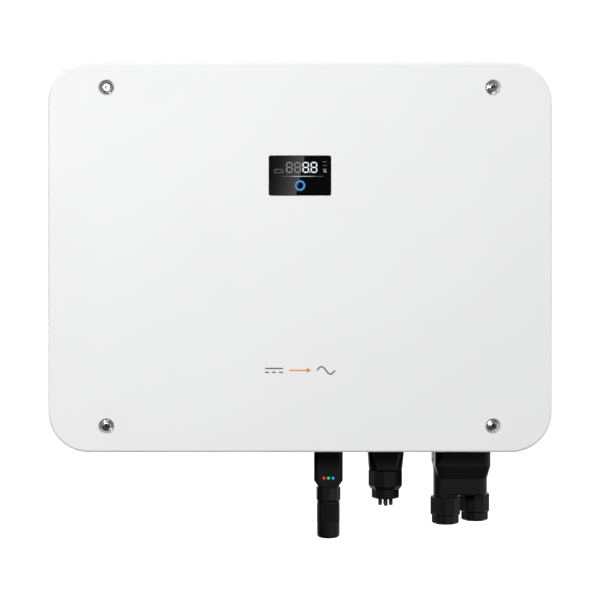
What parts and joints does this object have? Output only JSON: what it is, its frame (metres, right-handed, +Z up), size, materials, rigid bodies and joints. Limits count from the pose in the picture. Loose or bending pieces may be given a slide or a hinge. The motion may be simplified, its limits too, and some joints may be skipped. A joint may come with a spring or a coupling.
{
  "type": "string inverter",
  "caption": "Wall-hung string inverter: white cover with dark display, finned heatsink with fans behind, plug-in dongle, signal and mains connectors below.",
  "frame": {"origin": "centre of the wall bracket's four bolt holes, on the wall", "axes": "+X to the right seen from the front, +Y from the front into the wall, +Z up"},
  "size_m": [0.62, 0.2451, 0.5977],
  "materials": {
    "cover_paint": "satin white powder coat",
    "case_paint": "textured grey powder coat",
    "heatsink_metal": "raw extruded aluminium",
    "galvanised_sheet": "galvanised sheet steel",
    "stainless": "turned stainless steel",
    "black_shell": "fine textured black nylon",
    "black_grip": "black nylon, slightly glossy",
    "lens_black": "polished black window",
    "lit_white": "lit white figures",
    "dim_marks": "unlit grey marks",
    "lit_blue": "lit blue ring",
    "light_pipes": "coloured indicator lights",
    "gasket_rubber": "matt black rubber",
    "cap_rubber": "moulded rubber",
    "red_mark_shell": "red-brown nylon",
    "knob_plastic": "textured black nylon",
    "board_laminate": "green circuit board",
    "module_case": "moulded epoxy",
    "capacitor_sleeve": "dark blue sleeve",
    "coil_copper": "enamelled copper wire",
    "potted_case": "aluminium potting can",
    "relay_case": "blue relay case",
    "pillar_brass": "nickel-plated brass",
    "fan_plastic": "black fan plastic"
  },
  "bodies": {
    "bracket": {"wall_bracket": "galvanised_sheet"},
    "unit": {"housing": "case_paint", "hangers": "galvanised_sheet", "heatsink": "heatsink_metal", "heatsink_gasket": "gasket_rubber", "rear_screws": "stainless", "fan_tray": "galvanised_sheet", "fan_frames": "fan_plastic", "fan_guards": "stainless", "fan_screws": "stainless", "dc_switch_body": "module_case", "dc_switch_flange": "black_shell", "pv_sockets_positive": "red_mark_shell", "pv_sockets_negative": "black_shell", "battery_sockets": "black_shell", "socket_nuts": "black_grip", "dust_caps": "cap_rubber", "vent_valve": "black_shell", "dongle_port": "black_shell", "com_port": "black_shell", "ac_port": "black_shell", "earth_screw": "stainless", "power_modules": "module_case", "power_board": "board_laminate", "control_board": "board_laminate", "display_board": "board_laminate", "board_pillars": "pillar_brass", "board_screws": "stainless", "link_capacitors": "capacitor_sleeve", "boost_inductors": "potted_case", "filter_inductors": "coil_copper", "interference_chokes": "coil_copper", "output_relays": "relay_case"},
    "cover": {"front_cover": "cover_paint", "cover_gasket": "gasket_rubber", "cover_washers": "stainless", "cover_screws": "stainless", "display_lens": "lens_black", "display_digits": "lit_white", "display_icons": "dim_marks", "status_ring": "lit_blue", "lens_gasket": "gasket_rubber"},
    "fan_left": {"fan_rotor_left": "fan_plastic"},
    "fan_right": {"fan_rotor_right": "fan_plastic"},
    "switch_knob": {"dc_switch_knob": "knob_plastic"},
    "dongle": {"dongle_body": "black_shell", "dongle_lights": "light_pipes", "dongle_collar": "black_grip"},
    "dongle_grip": {"dongle_cap": "black_grip"},
    "com_connector": {"com_plug": "black_shell", "com_seal": "cap_rubber", "com_sealing_plugs": "cap_rubber"},
    "com_latch_l": {"com_latch_left": "black_grip"},
    "com_latch_r": {"com_latch_right": "black_grip"},
    "com_union": {"com_nut": "black_grip"},
    "ac_connector": {"ac_plug": "black_shell", "ac_seals": "cap_rubber"},
    "ac_latch": {"ac_lock": "black_grip"},
    "ac_union_front": {"ac_nut_front": "black_grip"},
    "ac_union_rear": {"ac_nut_rear": "black_grip"}
  },
  "joints": [
    {"name": "unit_lift", "type": "slide", "parent": "bracket", "child": "unit", "axis": [0, 0, 1], "range_m": [0, 0.025]},
    {"name": "cover_off", "type": "slide", "parent": "unit", "child": "cover", "axis": [0, -1, 0], "range_m": [0, 0.16]},
    {"name": "fan_left_spin", "type": "hinge", "parent": "unit", "child": "fan_left", "pos_m": [-0.095, -0.0475, -0.19], "axis": [0, 0, 1], "continuous": true},
    {"name": "fan_right_spin", "type": "hinge", "parent": "unit", "child": "fan_right", "pos_m": [0.095, -0.0475, -0.19], "axis": [0, 0, 1], "continuous": true},
    {"name": "dc_switch_turn", "type": "hinge", "parent": "unit", "child": "switch_knob", "pos_m": [-0.228, -0.165, -0.3], "axis": [0, 0, -1], "range_deg": [0, 90]},
    {"name": "dongle_unplug", "type": "slide", "parent": "unit", "child": "dongle", "axis": [0, 0, -1], "range_m": [0, 0.025]},
    {"name": "dongle_cap_turn", "type": "hinge", "parent": "dongle", "child": "dongle_grip", "pos_m": [0.0362, -0.17, -0.4], "axis": [0, 0, -1], "range_deg": [0, 360]},
    {"name": "com_unplug", "type": "slide", "parent": "unit", "child": "com_connector", "axis": [0, 0, -1], "range_m": [0, 0.025]},
    {"name": "com_latch_left_press", "type": "slide", "parent": "com_connector", "child": "com_latch_l", "axis": [1, 0, 0], "range_m": [0, 0.0015], "stiffness_N_per_m": 800},
    {"name": "com_latch_right_press", "type": "slide", "parent": "com_connector", "child": "com_latch_r", "axis": [-1, 0, 0], "range_m": [0, 0.0015], "stiffness_N_per_m": 800},
    {"name": "com_nut_turn", "type": "hinge", "parent": "com_connector", "child": "com_union", "pos_m": [0.1095, -0.165, -0.355], "axis": [0, 0, -1], "range_deg": [0, 360]},
    {"name": "ac_unplug", "type": "slide", "parent": "unit", "child": "ac_connector", "axis": [0, 0, -1], "range_m": [0, 0.025]},
    {"name": "ac_lock_slide", "type": "slide", "parent": "ac_connector", "child": "ac_latch", "axis": [0, 0, -1], "range_m": [0, 0.005]},
    {"name": "ac_nut_front_turn", "type": "hinge", "parent": "ac_connector", "child": "ac_union_front", "pos_m": [0.1855, -0.173, -0.39], "axis": [0, 0, -1], "range_deg": [0, 360]},
    {"name": "ac_nut_rear_turn", "type": "hinge", "parent": "ac_connector", "child": "ac_union_rear", "pos_m": [0.2257, -0.147, -0.39], "axis": [0, 0, -1], "range_deg": [0, 360]}
  ]
}
